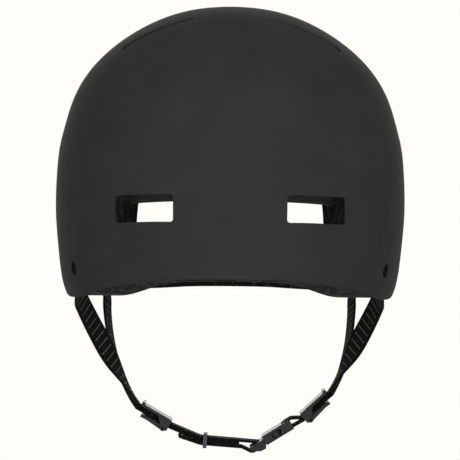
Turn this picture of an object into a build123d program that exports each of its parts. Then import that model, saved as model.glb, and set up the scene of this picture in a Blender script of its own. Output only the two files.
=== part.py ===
from build123d import *
from math import cos, radians, sin
import os

# Skateboard helmet, in millimetres. The front faces -Y, the wearer's left is +X, and Z is up.
# Z is zero at the lowest level of the rim. Left and right are the wearer's.

# Helmet body
shell_width = 220.0
shell_length = 272.0
shell_height = 184.5
shell_wall = 2.2
foam_gap = 0.3  # between the shell and the foam
foam_side = 22.0  # thickness of the foam at each place
foam_end = 26.0
foam_top = 24.0
overrun = 20.0  # how far each cutting tool runs past what it cuts
side_signs = (-1, 1)  # right, left

# Levels of the outer form, from the rim to the crown: height, half width and squareness,
# as shares of the dome's height and half width; squareness is the exponent of a superellipse
dome_level_shares = [
    (-0.033, 0.898, 2.55),
    (0.0, 0.923, 2.55),
    (0.043, 0.951, 2.55),
    (0.108, 0.972, 2.55),
    (0.217, 0.991, 2.55),
    (0.336, 1.0, 2.55),
    (0.461, 0.991, 2.5),
    (0.572, 0.959, 2.4),
    (0.696, 0.893, 2.3),
    (0.797, 0.784, 2.2),
    (0.878, 0.636, 2.1),
    (0.938, 0.4745, 2.0),
    (0.9756, 0.314, 2.0),
    (0.9945, 0.15, 2.0),
]
# The head cavity has upright sides
cavity_level_shares = [
    (-0.15, 0.99, 2.4),
    (0.0, 1.0, 2.4),
    (0.15, 1.0, 2.4),
    (0.34, 0.995, 2.4),
    (0.5, 0.97, 2.35),
    (0.62, 0.92, 2.3),
    (0.74, 0.83, 2.2),
    (0.84, 0.7, 2.1),
    (0.92, 0.52, 2.0),
    (0.97, 0.33, 2.0),
    (0.993, 0.16, 2.0),
]
quarter_steps = 4  # steps in each quarter of a level

# Rim in side view, front to back: shares of the half length and of the shell height
shell_rim_shares = [
    (-1.1, 0.1),
    (-1.0, 0.083),
    (-0.73, 0.038),
    (-0.5, 0.008),
    (-0.27, 0.012),
    (0.0, 0.027),
    (0.3, 0.018),
    (0.6, 0.004),
    (0.82, 0.015),
    (1.0, 0.05),
    (1.1, 0.078),
]
foam_rim_shares = [
    (-1.1, 0.074),
    (-0.97, 0.07),
    (-0.87, 0.072),
    (-0.79, 0.067),
    (-0.71, 0.046),
    (-0.64, 0.023),
    (-0.55, 0.0145),
    (-0.45, 0.02),
    (0.0, 0.04),
    (0.45, 0.024),
    (0.7, 0.018),
    (0.82, 0.028),
    (1.0, 0.064),
    (1.1, 0.09),
]

# Front and rear windows: centre on the shell, size across the tunnel, and the tunnel's direction
window_corner = 1.9
window_tilt = 4.6  # the outer end is the lower one
window_foam_step = 0.5  # the tunnel in the foam is this much larger all round
front_window_x = 49.6
front_window_z = 55.4
front_window_width = 37.6
front_window_height = 15.8
front_tunnel_turn = 21.0  # towards the middle
front_tunnel_drop = 8.0  # downwards on the way in
rear_window_x = 52.0
rear_window_z = 55.5
rear_window_width = 38.0
rear_window_height = 21.0
rear_tunnel_turn = 4.0
rear_tunnel_drop = 0.0

# Crown slots, in three rows
slot_inner_x = 23.5
slot_front_outer_x = 66.5
slot_middle_outer_x = 75.0
slot_rear_outer_x = 66.5
slot_front_y = 58.5
slot_inner_width = 4.8
slot_outer_width = 7.2
slot_corner = 0.8
slot_foam_step = 0.5

# Webbing
strap_width = 14.5
strap_thickness = 1.5
strap_clear = 0.3

# Straps between the rim and the dividers
strap_shell_stations = 5  # places that follow the shell, the last of them below the rim
strap_free_steps = 10  # steps of the free run
strap_rim_drop = 2.0  # the last place that follows the shell lies this far below the rim
front_rim_y = 40.0
rear_rim_y = 81.5
front_leave = 24.0  # how far each strap keeps the direction that it leaves the rim in
rear_leave = 46.0
front_leave_lean = 0.15  # how far it leans inwards there, for one unit down
rear_leave_lean = 0.02
front_tuck = 2.8  # how much further in each strap lies at the rim, to turn there
rear_tuck = 1.0
# Way across the webbing at the rim and in the middle of the free run, for one unit to the rear:
# how far it leans inwards and how far it rises
front_rim_turn = (0.6, 1.2)
front_middle_turn = (0.75, 0.95)
rear_rim_turn = (0.33, -0.4)
rear_middle_turn = (0.2, -0.25)
turn_middle_share = 0.45  # of the free run
turn_end_share = 0.92
shell_turns = (0, 0, 0, 0.5, 1)  # how much of the turn is done at each place on the shell
shell_tucks = (0, 0, 0, 1, 1)
strap_seat = 0.2  # between the shell and the webbing, beside the gap to the foam
knee_length = 4.5  # run above the divider that the strap bends in
knee_turn = 14.0  # how much steeper than the divider it arrives
knee_fan = 3.0  # how far forwards or backwards it turns there
strap_run_above_divider = 0.5
strap_join_inset = 5.0  # two pieces of webbing meet this far inside the divider's lower end
strap_join_gap = 0.3
strap_run_below_divider = 0.8

# Strap anchors: rivets through the shell
front_anchor_y = 80.0
rear_anchor_y = 88.0
anchor_z = 19.0
rivet_head_diameter = 7.6
rivet_head_height = 0.8
rivet_shank_diameter = 3.8
rivet_clench_diameter = 5.6
rivet_clench_height = 0.8
rivet_recess_diameter = 8.4
rivet_recess_depth = 1.0
rivet_fit = 0.1
washer_diameter = 10.0
washer_thickness = 0.8
washer_gap = 0.4
washer_pocket_clear = 1.0
strap_end_past_rivet = 7.0
strap_channel_clear = 1.0  # at each edge of the webbing
strap_channel_depth = 8.5

# Harness: the plane that the chin run hangs in, and the places in it
harness_y = -12.0
divider_right_x = -46.7
divider_right_z = -75.0
divider_right_slope = 30.0
divider_left_x = 55.5
divider_left_z = -67.8
divider_left_slope = 42.6

# Strap dividers
divider_length = 22.0
divider_width = 20.0
divider_plate = 1.8
divider_edge_share = 0.35  # rounding of the plate's edges, as a share of its thickness
divider_cheek = 1.8
divider_cheek_reach = 9.0
divider_lip = 1.2
divider_strap_clear = 0.35
divider_pin_radius = 0.75
divider_pin_inset = 2.8  # from the lower end
divider_pin_seat = 0.03  # between the pin and the cheeks
divider_pin_fit = 0.1  # between the pin and the lever
lever_thickness = 2.1
lever_reach = 16.0
lever_side_clear = 0.4
lever_knuckle_radius = 1.5
lever_flare = 1.0
lever_tip = 1.4

# Side-release buckle, on its own axis
buckle_x = 22.8
buckle_z = -89.4
buckle_slope = 32.0
buckle_width = 22.0
buckle_thickness = 6.4
female_length = 14.4
female_wall = 1.1
female_side_wall = 2.0
female_corner = 1.2
female_window_start = 5.6
female_window_end = 12.6
female_window_height = 3.8
female_slot = 2.3
female_bar = 3.3
female_bar_thickness = 2.8
female_bar_rise = 0.6
female_strap_clear = 0.75
bar_corner_share = 0.4  # of the bar's thickness
male_length = 10.0
male_gap = 0.4
male_step = 0.3  # how much smaller the male half is all round
male_top = 1.3
male_slot_start = 2.3
male_slot = 2.5
male_bar = 2.8
male_bar_thickness = 1.4
male_ridge_start = 1.2
male_ridge_drop = 4.6
male_corner = 0.6
male_tongue_width = 4.4
male_tongue_length = 11.0
male_tongue_thickness = 2.6
prong_length = 12.6
prong_width = 2.4
prong_thickness = 3.0
prong_offset = 7.0
prong_root_radius = 1.3
prong_head_length = 5.6
prong_head_reach = 10.4
prong_fit = 0.25

# Chin webbing: two plies and, below them, the tail, whose end is folded and sewn
ply_pitch = 1.9
tail_pitch = 4.1
stack_z = -88.0
stack_slope = 4.0
stack_lead = 2.8  # straight webbing before the keeper
stack_bend = 9.0
second_ply_end_x = 7.0
tail_join_x = 8.5
tail_bend = 3.0
fold_length = 13.5
fold_rise = 3.5
fold_width = 2.9
fold_lean = 0.3
fold_lap = 7.0
fold_lap_drop = 2.6
bend_share = 0.4  # radius of a tight bend, as a share of the height between its two runs
bar_bend_share = 0.37
loop_lead = 1.6
loop_bend = 2.0

# Keeper ring
keeper_x = -14.6
keeper_wall = 1.3
keeper_length = 2.4
keeper_clear = 0.3

# Comfort pads, on hook-and-loop dots
pad_thickness = 8.0
dot_thickness = 1.0
dot_diameter = 16.0
dot_spread = 26.0
dot_gap = 0.3
pad_taper = 10.0
pad_reach = 34.0
pad_corner = 9.0
front_pad_width = 104.0
front_pad_height = 27.0
front_pad_z = 29.0
rear_pad_width = 92.0
rear_pad_height = 27.0
rear_pad_z = 27.0
side_pad_length = 78.0
side_pad_height = 38.0
side_pad_z = 46.0
crown_pad_width = 42.0
crown_pad_length = 112.0


def dome(side, end, top, level_shares):
    """Closed oval dome, inset from the outside of the shell at the sides, the ends and the top."""
    half_width = shell_width / 2 - side
    half_length = shell_length / 2 - end
    height = shell_height - top
    with BuildPart(mode=Mode.PRIVATE) as form:
        for height_share, width_share, squareness in level_shares:
            across = half_width * width_share
            along = half_length * width_share
            points = [(across, 0)]
            for i in range(1, quarter_steps):
                angle = radians(90 * i / quarter_steps)
                x = across * cos(angle) ** (2 / squareness)
                y = along * sin(angle) ** (2 / squareness)
                points.append((x, y))
            points.append((0, along))
            with BuildSketch(Plane.XY.offset(height * height_share)):
                with BuildLine() as level:
                    Spline(*points, tangents=[(0, 1), (-1, 0)])
                    mirror(level.line, about=Plane.YZ)
                    mirror(level.line, about=Plane.XZ)
                make_face()
        loft(sections=[*form.pending_faces, Vertex(0, 0, height)])
    return form.part


def below_rim(rim_shares):
    """Tool that takes away everything below a rim line drawn in side view."""
    points = [(y * shell_length / 2, z * shell_height) for y, z in rim_shares]
    floor = -shell_height / 2
    with BuildPart(mode=Mode.PRIVATE) as tool:
        with BuildSketch(Plane.YZ):
            with BuildLine():
                rim = Spline(*points)
                Polyline(rim @ 1, (points[-1][0], floor), (points[0][0], floor), rim @ 0)
            make_face()
        extrude(amount=shell_width, both=True)
    return tool.part


def surface_point(y, z, side):
    """Point on the outside of the shell at this y and z, with its outward normal."""
    hits = outer_form.find_intersection_points(Axis((0, y, z), (side, 0, 0)))
    return max(hits, key=lambda hit: hit[0].X * side)


def window_tool(x, z, front, width, height, turn, drop, step):
    """Tunnel of one window on the right side, a rounded rectangle run inwards."""
    end = -1 if front else 1
    hits = outer_form.find_intersection_points(Axis((-x, 0, z), (0, end, 0)))
    mouth = max(hits, key=lambda hit: hit[0].Y * end)[0]
    level = cos(radians(drop))
    inward = Vector(sin(radians(turn)) * level, -end * cos(radians(turn)) * level, -sin(radians(drop)))
    along = Vector(0, 0, 1).cross(inward).normalized()
    if along.X < 0:
        along = along * -1
    plane = Plane(mouth - inward * overrun, x_dir=along, z_dir=inward)
    depth = foam_end + 2 * overrun
    with BuildPart(mode=Mode.PRIVATE) as tool:
        with BuildSketch(plane.rotated((0, 0, window_tilt if end < 0 else -window_tilt))):
            RectangleRounded(width + 2 * step, height + 2 * step, window_corner + step)
        extrude(amount=depth)
    return tool.part


def slot_tool(y, outer_x, sign, step):
    """One crown slot on the right side, wider at its outer end, cut straight down."""
    outline = [
        (-slot_inner_x + step, y - sign * (slot_inner_width / 2 + step)),
        (-slot_inner_x + step, y + sign * (slot_inner_width / 2 + step)),
        (-outer_x - step, y + sign * (slot_inner_width / 2 + step)),
        (-outer_x - step, y + sign * (slot_inner_width / 2 - slot_outer_width - step)),
    ]
    with BuildPart(mode=Mode.PRIVATE) as tool:
        with BuildSketch(Plane.XY.offset(shell_height / 2)):
            with BuildLine():
                Polyline(*outline, close=True)
            make_face()
            fillet(vertices(), radius=slot_corner)
        extrude(amount=shell_height)
    return tool.part


def vent_tools(step_window, step_slot):
    """Tools of the ten vents, five a side."""
    tools = [
        window_tool(front_window_x, front_window_z, True, front_window_width, front_window_height,
                    front_tunnel_turn, front_tunnel_drop, step_window),
        window_tool(rear_window_x, rear_window_z, False, rear_window_width, rear_window_height,
                    rear_tunnel_turn, rear_tunnel_drop, step_window),
        slot_tool(-slot_front_y, slot_front_outer_x, 1, step_slot),
        slot_tool(0, slot_middle_outer_x, 1, step_slot),
        slot_tool(slot_front_y, slot_rear_outer_x, -1, step_slot),
    ]
    return tools + [mirror(tool, about=Plane.YZ, mode=Mode.PRIVATE) for tool in tools]


def ribbon(stations, width, thickness):
    """Webbing through stations of point, width direction and run direction, in flat lengths."""
    with BuildPart(mode=Mode.PRIVATE) as band:
        for point, across, run in stations:
            square = (run - across * run.dot(across)).normalized()
            with BuildSketch(Plane(point, x_dir=across, z_dir=square)):
                Rectangle(width / run.dot(square), thickness)
        loft(ruled=True)
    return band.part


# Forms that the helmet body is cut from
outer_form = dome(0, 0, 0, dome_level_shares)
shell_inner_form = dome(shell_wall, shell_wall, shell_wall, dome_level_shares)
foam_depth = shell_wall + foam_gap
foam_outer_form = dome(foam_depth, foam_depth, foam_depth, dome_level_shares)


def cavity(depth):
    """Head cavity, this much further in than the inside of the foam."""
    return dome(foam_depth + foam_side + depth, foam_depth + foam_end + depth,
                foam_depth + foam_top + depth, cavity_level_shares)


cavity_form = cavity(0)

# Anchors of the four straps: point on the shell, outward normal
anchors = {}
for side in side_signs:
    anchors["front", side] = surface_point(-front_anchor_y, anchor_z, side)
    anchors["rear", side] = surface_point(rear_anchor_y, anchor_z, side)

# Planes of the dividers: x runs down the straps, y points at the inner, upper side
divider_planes = {}
for side, x, z, slope in (
    (-1, divider_right_x, divider_right_z, divider_right_slope),
    (1, divider_left_x, divider_left_z, divider_left_slope),
):
    down = Vector(-side * cos(radians(slope)), 0, -sin(radians(slope)))
    divider_planes[side] = Plane((x, harness_y, z), x_dir=down, z_dir=(0, side, 0))

# Planes of the buckle: s runs from the male half into the female half
buckle_run = Vector(cos(radians(buckle_slope)), 0, sin(radians(buckle_slope)))
buckle_side = Plane((buckle_x, harness_y, buckle_z), x_dir=buckle_run, z_dir=(0, -1, 0))
buckle_top = Plane(buckle_side.origin, x_dir=buckle_run, z_dir=buckle_side.y_dir)
buckle_section = Plane(buckle_side.origin, x_dir=(0, 1, 0), z_dir=buckle_run)
harness_plane = Plane.XZ.offset(-harness_y)

# Straps, from their riveted ends to the dividers
strap_inset = foam_depth + strap_seat + strap_thickness / 2
ply_offset = ply_pitch / 2
join_s = divider_length / 2 - strap_join_inset


def across_toward(side, turn):
    """Way across the webbing on this side, towards the rear."""
    return Vector(-side * turn[0], 1, turn[1]).normalized()


def eased(share):
    """Smooth step from nothing to one."""
    held = min(max(share, 0), 1)
    return held * held * (3 - 2 * held)


def strap_stations(end_name, side):
    """Stations of one strap, from above its rivet to its end inside the divider."""
    sign = -1 if end_name == "front" else 1
    anchor_y = front_anchor_y if end_name == "front" else rear_anchor_y
    rim_y = front_rim_y if end_name == "front" else rear_rim_y
    leave = front_leave if end_name == "front" else rear_leave
    lean = front_leave_lean if end_name == "front" else rear_leave_lean
    tuck = front_tuck if end_name == "front" else rear_tuck
    rim_across = across_toward(side, front_rim_turn if end_name == "front" else rear_rim_turn)
    middle_across = across_toward(side, front_middle_turn if end_name == "front" else rear_middle_turn)
    last_across = Vector(0, 1, 0)
    slant = (rim_y - anchor_y) / (anchor_z + strap_rim_drop)
    on_shell = []
    # It stays flat under the washer, and turns only below it
    flat_z = anchor_z - (washer_diameter / 2 + washer_pocket_clear) / (1 + slant * slant) ** 0.5
    levels = (anchor_z + strap_end_past_rivet, anchor_z, flat_z, anchor_z / 2, -strap_rim_drop)
    for z, turned, tucked in zip(levels, shell_turns, shell_tucks):
        y = sign * (anchor_y + slant * (anchor_z - z))
        point, normal = surface_point(y, z, side)
        on_shell.append((point - normal * (strap_inset + tuck * tucked), normal, turned))
    points = [point for point, normal, turned in on_shell]
    runs = [points[1] - points[0]] + [b - a for a, b in zip(points, points[1:])]
    stations = []
    for (point, normal, turned), run in zip(on_shell, runs):
        across = normal.cross(run.normalized())
        if across.Y < 0:
            across = across * -1
        across = across.normalized() * (1 - turned) + rim_across * turned
        stations.append((point, across.normalized(), run.normalized()))
    # The free run is one smooth curve from the rim to the top of the divider
    plane = divider_planes[side]
    layer_shift = plane.y_dir * (ply_offset if end_name == "front" else -ply_offset)
    top = plane.origin - plane.x_dir * (divider_length / 2 + strap_run_above_divider) + layer_shift
    arrive = plane.x_dir * cos(radians(knee_turn)) - plane.y_dir * sin(radians(knee_turn))
    knee = arrive * knee_length - Vector(0, sign * knee_fan, 0)
    fall = stations[-1][2]
    away = Vector(-side * lean, fall.Y / abs(fall.Z), -1).normalized() * leave
    curve = Bezier(points[-1], points[-1] + away, top - knee, top, mode=Mode.PRIVATE)
    for i in range(1, strap_free_steps + 1):
        share = i / strap_free_steps
        if share < turn_middle_share:
            turned = eased(share / turn_middle_share)
            across = rim_across * (1 - turned) + middle_across * turned
        else:
            turned = eased((share - turn_middle_share) / (turn_end_share - turn_middle_share))
            across = middle_across * (1 - turned) + last_across * turned
        stations.append((curve @ share, across.normalized(), curve % share))
    stations.append((plane.origin + plane.x_dir * join_s + layer_shift, last_across, plane.x_dir))
    return stations


strap_lines = {}
for side in side_signs:
    for end_name in ("front", "rear"):
        strap_lines[end_name, side] = strap_stations(end_name, side)

os.makedirs("parts", exist_ok=True)

# Outer shell
with BuildPart() as outer_shell:
    add(outer_form)
    add(shell_inner_form, mode=Mode.SUBTRACT)
    add(below_rim(shell_rim_shares), mode=Mode.SUBTRACT)
    add(vent_tools(0, 0), mode=Mode.SUBTRACT)
    for point, normal in anchors.values():
        with Locations(Plane(point, z_dir=normal)):
            Cylinder(rivet_recess_diameter / 2, 2 * rivet_recess_depth, mode=Mode.SUBTRACT)
            Cylinder(rivet_shank_diameter / 2 + rivet_fit, overrun, mode=Mode.SUBTRACT)
outer_shell.part.label = "outer_shell"
export_step(outer_shell.part, "parts/outer_shell.step")

# Foam liner, with a channel for each strap end and a pocket for each washer
channel_width = strap_width + 2 * strap_channel_clear
pocket_radius = washer_diameter / 2 + washer_pocket_clear
pocket_depth = strap_inset + strap_channel_depth / 2
with BuildPart() as foam_liner:
    add(foam_outer_form)
    add(cavity_form, mode=Mode.SUBTRACT)
    add(below_rim(foam_rim_shares), mode=Mode.SUBTRACT)
    add(vent_tools(window_foam_step, slot_foam_step), mode=Mode.SUBTRACT)
    for line in strap_lines.values():
        channel = ribbon(line[:strap_shell_stations + 1], channel_width, strap_channel_depth)
        add(channel, mode=Mode.SUBTRACT)
    for point, normal in anchors.values():
        with Locations(Plane(point, z_dir=normal)):
            Cylinder(pocket_radius, 2 * pocket_depth, mode=Mode.SUBTRACT)
foam_liner.part.label = "foam_liner"
export_step(foam_liner.part, "parts/foam_liner.step")

# Four straps, each with the hole for its rivet
for (end_name, side), line in strap_lines.items():
    anchor_point, anchor_normal = anchors[end_name, side]
    with BuildPart() as strap:
        add(ribbon(line, strap_width, strap_thickness))
        with Locations(Plane(anchor_point, z_dir=anchor_normal)):
            Cylinder(rivet_shank_diameter / 2 + rivet_fit, overrun, mode=Mode.SUBTRACT)
    strap.part.label = end_name + "_strap_" + ("right" if side < 0 else "left")
    export_step(strap.part, "parts/" + strap.part.label + ".step")

# Rivets that hold the strap ends, and the washers that they are clenched on
strap_inner = foam_depth + strap_seat + strap_thickness
washer_top = strap_inner + washer_gap
clench_top = washer_top + washer_thickness
with BuildPart() as strap_rivets:
    for point, normal in anchors.values():
        plane = Plane(point, z_dir=-normal)
        with BuildSketch(plane.offset(rivet_recess_depth - rivet_head_height)):
            Circle(rivet_head_diameter / 2)
        extrude(amount=rivet_head_height)
        with BuildSketch(plane.offset(rivet_recess_depth)):
            Circle(rivet_shank_diameter / 2)
        extrude(amount=clench_top - rivet_recess_depth)
        with BuildSketch(plane.offset(clench_top)):
            Circle(rivet_clench_diameter / 2)
        extrude(amount=rivet_clench_height)
strap_rivets.part.label = "strap_rivets"
export_step(strap_rivets.part, "parts/strap_rivets.step")

with BuildPart() as rivet_washers:
    for point, normal in anchors.values():
        with BuildSketch(Plane(point, z_dir=-normal).offset(washer_top)):
            Circle(washer_diameter / 2)
            Circle(rivet_shank_diameter / 2 + rivet_fit, mode=Mode.SUBTRACT)
        extrude(amount=washer_thickness)
rivet_washers.part.label = "rivet_washers"
export_step(rivet_washers.part, "parts/rivet_washers.step")

# Comfort pads on hook-and-loop dots, in layers inside the foam


def layer(depth, thickness):
    """Layer of this thickness, this far inside the foam."""
    with BuildPart(mode=Mode.PRIVATE) as form:
        add(cavity(depth))
        add(cavity(depth + thickness), mode=Mode.SUBTRACT)
    return form.part


cavity_half_width = shell_width / 2 - foam_depth - foam_side
cavity_half_length = shell_length / 2 - foam_depth - foam_end
cavity_height = shell_height - foam_depth - foam_top
dot_layer = layer(dot_gap, dot_thickness)
pad_layer = layer(2 * dot_gap + dot_thickness, pad_thickness)

# Each pad's plane lies on the foam and faces outwards; its outline's first size runs sideways
front_face = Plane((0, -cavity_half_length, front_pad_z), x_dir=(1, 0, 0), z_dir=(0, -1, 0))
rear_face = Plane((0, cavity_half_length, rear_pad_z), x_dir=(1, 0, 0), z_dir=(0, 1, 0))
right_face = Plane((-cavity_half_width, 0, side_pad_z), x_dir=(0, 1, 0), z_dir=(-1, 0, 0))
left_face = Plane((cavity_half_width, 0, side_pad_z), x_dir=(0, 1, 0), z_dir=(1, 0, 0))
crown_face = Plane((0, 0, cavity_height), x_dir=(0, 1, 0), z_dir=(0, 0, 1))
pads = {
    "front_pad": (front_face, front_pad_width, front_pad_height, (-1, 1)),
    "rear_pad": (rear_face, rear_pad_width, rear_pad_height, (-1, 1)),
    "side_pad_right": (right_face, side_pad_length, side_pad_height, (-1, 1)),
    "side_pad_left": (left_face, side_pad_length, side_pad_height, (-1, 1)),
    "crown_pad": (crown_face, crown_pad_length, crown_pad_width, (-1, 0, 1)),
}
for name, (face, width, height, dot_places) in pads.items():
    with BuildPart(mode=Mode.PRIVATE) as pad_block:
        with BuildSketch(face) as outline:
            RectangleRounded(width, height, pad_corner)
        extrude(outline.sketch, amount=-pad_reach, taper=pad_taper)
        extrude(outline.sketch, amount=overrun)
    with BuildPart() as pad:
        add(pad_layer)
        add(pad_block.part, mode=Mode.INTERSECT)
    pad.part.label = name
    export_step(pad.part, "parts/" + pad.part.label + ".step")

with BuildPart() as pad_dots:
    for face, width, height, dot_places in pads.values():
        with BuildSketch(face):
            with Locations(*[(place * dot_spread, 0) for place in dot_places]):
                Circle(dot_diameter / 2)
        extrude(amount=pad_reach, both=True)
    add(dot_layer, mode=Mode.INTERSECT)
pad_dots.part.label = "pad_dots"
export_step(pad_dots.part, "parts/pad_dots.step")


# Strap dividers: a plate with two cheeks, and a cam lever on a pin between them
strap_stack = (ply_pitch + strap_thickness) / 2  # half the thickness of the two plies
plate_face = strap_stack + divider_strap_clear
pin_s = divider_length / 2 - divider_pin_inset
pin_p = -(plate_face + lever_knuckle_radius)
cheek_inner = divider_width / 2 - divider_cheek
lever_half_width = cheek_inner - lever_side_clear

for side, side_name in ((-1, "right"), (1, "left")):
    plane = divider_planes[side]
    with BuildPart() as divider_base:
        with BuildSketch(plane):
            with Locations((0, plate_face + divider_plate / 2)):
                Rectangle(divider_length, divider_plate)
            with Locations((-divider_length / 2 + divider_lip, plate_face + divider_plate)):
                Circle(divider_lip)
        extrude(amount=divider_width / 2, both=True)
        with BuildSketch(plane):
            with BuildLine():
                reach_s = divider_length / 2 - divider_cheek_reach
                back_p = plate_face + divider_plate
                Polyline(
                    (reach_s - divider_plate, back_p),
                    (divider_length / 2, back_p),
                    (divider_length / 2, pin_p),
                    (pin_s, pin_p - lever_knuckle_radius),
                    (reach_s, plate_face),
                    close=True,
                )
            make_face()
            with Locations((pin_s, pin_p)):
                Circle(lever_knuckle_radius + divider_pin_fit)
                Circle(divider_pin_radius + divider_pin_seat, mode=Mode.SUBTRACT)
        extrude(amount=divider_width / 2, both=True)
        with BuildSketch(plane):
            with Locations((0, plate_face - divider_width / 2)):
                Rectangle(2 * divider_length, divider_width)
        extrude(amount=cheek_inner, both=True, mode=Mode.SUBTRACT)
        long_edges = divider_base.edges().filter_by(Axis.Y).group_by(SortBy.LENGTH)[-1]
        fillet(long_edges, divider_plate * divider_edge_share)
    divider_base.part.label = "divider_base_" + side_name
    export_step(divider_base.part, "parts/" + divider_base.part.label + ".step")

    with BuildPart() as divider_lever:
        with BuildSketch(plane):
            tip_s = pin_s - lever_reach
            with BuildLine():
                inner_face = Line((pin_s, -plate_face), (tip_s + lever_thickness, -plate_face))
                tip = Line(inner_face @ 1, (tip_s, -plate_face - lever_flare))
                end = Line(tip @ 1, (tip_s, -plate_face - lever_flare - lever_tip))
                back = Line(end @ 1, (tip_s + 2 * lever_thickness, -plate_face - lever_thickness))
                Polyline(back @ 1, (pin_s, pin_p - lever_knuckle_radius), inner_face @ 0)
            make_face()
            with Locations((pin_s, pin_p)):
                Circle(lever_knuckle_radius)
                Circle(divider_pin_radius + divider_pin_fit, mode=Mode.SUBTRACT)
        extrude(amount=lever_half_width, both=True)
    divider_lever.part.label = "divider_lever_" + side_name
    export_step(divider_lever.part, "parts/" + divider_lever.part.label + ".step")

    with BuildPart() as divider_pin:
        with BuildSketch(plane):
            with Locations((pin_s, pin_p)):
                Circle(divider_pin_radius)
        extrude(amount=divider_width / 2, both=True)
    divider_pin.part.label = "divider_pin_" + side_name
    export_step(divider_pin.part, "parts/" + divider_pin.part.label + ".step")

# Buckle, female half: a flat sleeve with a window in each edge, then a slot and a bar for the loop
female_end = female_length + female_slot + female_bar
strap_opening = strap_width / 2 + female_strap_clear
with BuildPart() as buckle_female:
    with BuildSketch(buckle_section):
        RectangleRounded(buckle_width, buckle_thickness, female_corner)
    extrude(amount=female_end)
    with BuildSketch(buckle_section):
        Rectangle(buckle_width - 2 * female_side_wall, buckle_thickness - 2 * female_wall)
    extrude(amount=female_length - female_wall, mode=Mode.SUBTRACT)
    with BuildSketch(buckle_side):
        with Locations(((female_window_start + female_window_end) / 2, 0)):
            RectangleRounded(female_window_end - female_window_start, female_window_height, female_corner)
    extrude(amount=buckle_width, both=True, mode=Mode.SUBTRACT)
    with BuildSketch(buckle_side):
        with Locations((female_length + (female_slot + female_bar) / 2, 0)):
            Rectangle(female_slot + female_bar, 2 * buckle_thickness)
        with Locations((female_length + female_slot + female_bar / 2, female_bar_rise)):
            RectangleRounded(female_bar, female_bar_thickness, female_bar_thickness * bar_corner_share,
                             mode=Mode.SUBTRACT)
    extrude(amount=strap_opening, both=True, mode=Mode.SUBTRACT)
buckle_female.part.label = "buckle_female"
export_step(buckle_female.part, "parts/buckle_female.step")

# Buckle, male half: two cheeks, a head at the seam, a bar for the webbing and a guide tongue
male_front = -male_gap
male_back = male_front - male_length
head_back = male_front - male_slot_start
bar_front = head_back - male_slot
bar_back = bar_front - male_bar
male_half_width = buckle_width / 2 - male_step
with BuildPart() as buckle_male:
    with BuildSketch(buckle_side):
        with BuildLine():
            Polyline(
                (male_back, male_top),
                (male_front, male_top),
                (male_front, -buckle_thickness / 2 + male_step),
                (male_front - male_ridge_start, -male_ridge_drop),
                (bar_front, -male_ridge_drop + male_step),
                (male_back, -male_bar_thickness),
                close=True,
            )
        make_face()
        fillet(vertices(), radius=male_corner)
    extrude(amount=male_half_width, both=True)
    with BuildSketch(buckle_side):
        with Locations(((male_back + head_back) / 2 - overrun / 2, 0)):
            Rectangle(head_back - male_back + overrun, 4 * buckle_thickness)
        with Locations(((bar_front + bar_back) / 2, -male_bar_thickness / 2)):
            RectangleRounded(male_bar, male_bar_thickness, male_bar_thickness * bar_corner_share,
                             mode=Mode.SUBTRACT)
    extrude(amount=strap_opening, both=True, mode=Mode.SUBTRACT)
    with BuildSketch(buckle_section.offset(male_front)):
        Rectangle(male_tongue_width, male_tongue_thickness)
    extrude(amount=male_tongue_length)
    with BuildSketch(buckle_top):
        with Locations((male_front, prong_offset), (male_front, -prong_offset)):
            Circle(prong_root_radius + prong_fit)
    extrude(amount=prong_thickness / 2 + prong_fit, both=True, mode=Mode.SUBTRACT)
buckle_male.part.label = "buckle_male"
export_step(buckle_male.part, "parts/buckle_male.step")

# Sprung prongs: each turns on its round root, in the pocket of the male half's head
for sign, name in ((-1, "front"), (1, "rear")):
    with BuildPart() as buckle_prong:
        with BuildSketch(buckle_top):
            with Locations((male_front, sign * prong_offset)):
                Circle(prong_root_radius)
            with BuildLine():
                outer_y = prong_offset + prong_width / 2
                inner_y = prong_offset - prong_width / 2
                tip_s = male_front + prong_length
                Polyline(
                    (male_front, sign * inner_y),
                    (tip_s, sign * inner_y),
                    (tip_s, sign * outer_y),
                    (tip_s - prong_head_length / 2, sign * prong_head_reach),
                    (tip_s - prong_head_length, sign * prong_head_reach),
                    (tip_s - prong_head_length, sign * outer_y),
                    (male_front, sign * outer_y),
                    close=True,
                )
            make_face()
        extrude(amount=prong_thickness / 2, both=True)
    buckle_prong.part.label = "buckle_prong_" + name
    export_step(buckle_prong.part, "parts/" + buckle_prong.part.label + ".step")

# Webbing that lies edge-on in the harness plane: the chin strap and the buckle loop


def flat(point):
    """Place of a point in the harness plane's own x and y."""
    return (point.X, point.Z)


def buckle_place(s, p):
    return flat(buckle_side.from_local_coords(Vector(s, p, 0)))


def divider_place(side, s, layer):
    """Place in a divider on one of its two plies, 1 the inner and -1 the outer."""
    return flat(divider_planes[side].from_local_coords(Vector(s, layer * ply_offset, 0)))


stack_fall = sin(radians(stack_slope)) / cos(radians(stack_slope))


def stack_place(x, pitch):
    """Point of the straight stack at this x, the pitch below its upper ply."""
    return (x, stack_z - stack_fall * (x - keeper_x) - pitch)


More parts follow.
